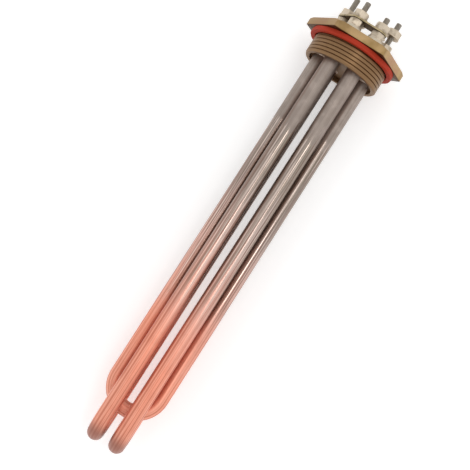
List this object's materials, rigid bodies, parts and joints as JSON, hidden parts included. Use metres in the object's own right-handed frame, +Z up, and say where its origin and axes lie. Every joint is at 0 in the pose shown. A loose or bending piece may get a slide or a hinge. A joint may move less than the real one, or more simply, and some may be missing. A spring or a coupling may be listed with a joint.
{
  "type": "tubular immersion heater",
  "caption": "Screw-in tubular immersion heater: hexagon brass plug, flat gasket, U-shaped sheathed elements and threaded terminals with a star link.",
  "frame": {"origin": "centre of the gasket's sealing face, on the heater's axis", "axes": "+X along the heater's axis towards the terminals, -X into the tank; +Z up, square to two flats of the hexagon; +Y to the left seen from the hairpin tips"},
  "size_m": [0.2995, 0.0646, 0.056],
  "materials": {
    "plug_brass": "turned",
    "link_brass": "satin",
    "gasket_rubber": "matte",
    "sheath_steel": "heat-tinted satin",
    "nut_steel": "plated satin",
    "stud_steel": "threaded",
    "solder": "dull",
    "magnesia": "packed powder",
    "resistance_wire": "oxidised",
    "bush_ceramic": "unglazed"
  },
  "bodies": {
    "root": {"end_bush_1": "bush_ceramic", "end_bush_2": "bush_ceramic", "end_bush_3": "bush_ceramic", "end_bush_4": "bush_ceramic", "end_bush_5": "bush_ceramic", "end_bush_6": "bush_ceramic", "gasket": "gasket_rubber", "heating_coil_cross": "resistance_wire", "heating_coil_left": "resistance_wire", "heating_coil_right": "resistance_wire", "lower_nut_1": "nut_steel", "lower_nut_2": "nut_steel", "lower_nut_3": "nut_steel", "lower_nut_4": "nut_steel", "lower_nut_5": "nut_steel", "lower_nut_6": "nut_steel", "lower_washer_1": "nut_steel", "lower_washer_2": "nut_steel", "lower_washer_3": "nut_steel", "lower_washer_4": "nut_steel", "lower_washer_5": "nut_steel", "lower_washer_6": "nut_steel", "magnesia_cross": "magnesia", "magnesia_left": "magnesia", "magnesia_right": "magnesia", "screw_plug": "plug_brass", "sheath_cross": "sheath_steel", "sheath_left": "sheath_steel", "sheath_right": "sheath_steel", "solder_ring_1": "solder", "solder_ring_2": "solder", "solder_ring_3": "solder", "solder_ring_4": "solder", "solder_ring_5": "solder", "solder_ring_6": "solder", "star_link": "link_brass", "terminal_stud_1": "stud_steel", "terminal_stud_2": "stud_steel", "terminal_stud_3": "stud_steel", "terminal_stud_4": "stud_steel", "terminal_stud_5": "stud_steel", "terminal_stud_6": "stud_steel", "upper_nut_1": "nut_steel", "upper_nut_2": "nut_steel", "upper_nut_3": "nut_steel", "upper_nut_4": "nut_steel", "upper_nut_5": "nut_steel", "upper_nut_6": "nut_steel", "upper_washer_1": "nut_steel", "upper_washer_2": "nut_steel", "upper_washer_3": "nut_steel", "upper_washer_4": "nut_steel", "upper_washer_5": "nut_steel", "upper_washer_6": "nut_steel"}
  },
  "joints": []
}
